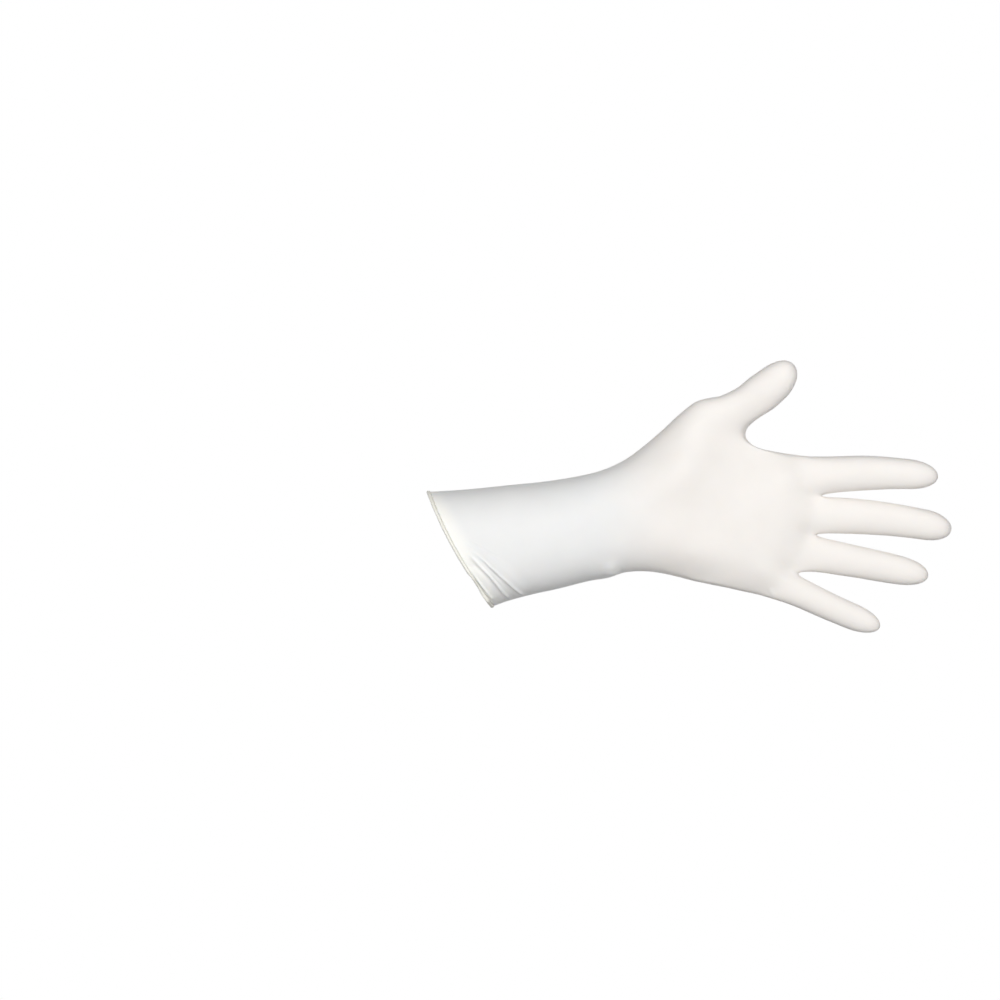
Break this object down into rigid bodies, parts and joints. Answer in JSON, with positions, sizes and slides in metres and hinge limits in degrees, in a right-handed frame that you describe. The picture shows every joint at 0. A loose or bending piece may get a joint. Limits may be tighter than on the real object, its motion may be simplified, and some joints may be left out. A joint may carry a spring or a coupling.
{
  "type": "cleanroom glove",
  "caption": "Long-cuff cleanroom glove of thin off-white film in its worn left-hand form, fingers spread, open inside from the slanted mouth with its rolled bead to the fingertips.",
  "frame": {"origin": "middle of the cuff's mouth, where the hand goes in", "axes": "+X along the glove to the middle fingertip, -Y the palm's side, +Z the thumb's side"},
  "size_m": [0.3193, 0.0561, 0.1684],
  "materials": {
    "nitrile_film": "satin off-white dip-moulded nitrile",
    "rolled_bead": "satin cream, the film rolled several turns thick"
  },
  "bodies": {
    "root": {"glove_film": "nitrile_film", "cuff_bead": "rolled_bead"}
  },
  "joints": []
}
